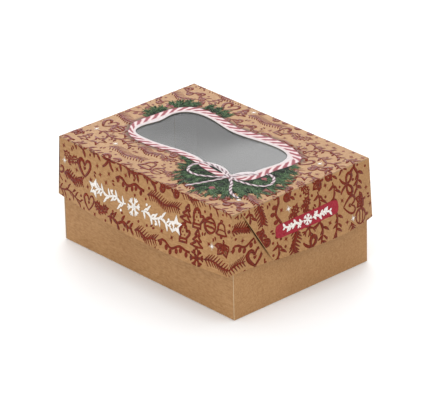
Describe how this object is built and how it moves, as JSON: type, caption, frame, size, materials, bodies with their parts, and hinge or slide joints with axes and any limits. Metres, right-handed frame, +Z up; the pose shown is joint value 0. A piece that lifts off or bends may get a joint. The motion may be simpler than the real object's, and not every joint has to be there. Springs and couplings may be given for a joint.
{
  "type": "sweet box",
  "caption": "Folded carton sweet box: an open base tray with a lift-off lid whose top has a shaped window closed by a clear film.",
  "frame": {"origin": "middle of the base's underside, on the surface that the box stands on", "axes": "+Z up, the way the lid lifts off; +X along the long side, towards the end panel that the bow in the window's corner points at; +Y to the back, so the front wall faces -Y"},
  "size_m": [0.1938, 0.1478, 0.0794],
  "materials": {
    "kraft_board": "matt brown kraft face, grey lined inside",
    "printed_board": "matt brown kraft face with a red print, grey lined inside",
    "clear_film": "clear glossy film",
    "glue": "dried white glue"
  },
  "bodies": {
    "base": {"base_floor": "kraft_board", "base_front_wall": "kraft_board", "base_back_wall": "kraft_board", "base_left_end_panel": "kraft_board", "base_right_end_panel": "kraft_board", "base_front_left_flap": "kraft_board", "base_front_right_flap": "kraft_board", "base_back_left_flap": "kraft_board", "base_back_right_flap": "kraft_board", "base_corner_glue": "glue"},
    "lid": {"lid_top_panel": "printed_board", "lid_front_wall": "printed_board", "lid_back_wall": "printed_board", "lid_left_end_panel": "printed_board", "lid_right_end_panel": "printed_board", "lid_front_left_flap": "printed_board", "lid_front_right_flap": "printed_board", "lid_back_left_flap": "printed_board", "lid_back_right_flap": "printed_board", "lid_corner_glue": "glue", "window_film": "clear_film", "film_glue_line": "glue"}
  },
  "joints": [
    {"name": "lid_lift", "type": "slide", "parent": "base", "child": "lid", "axis": [0, 0, 1], "range_m": [0, 0.06]}
  ]
}
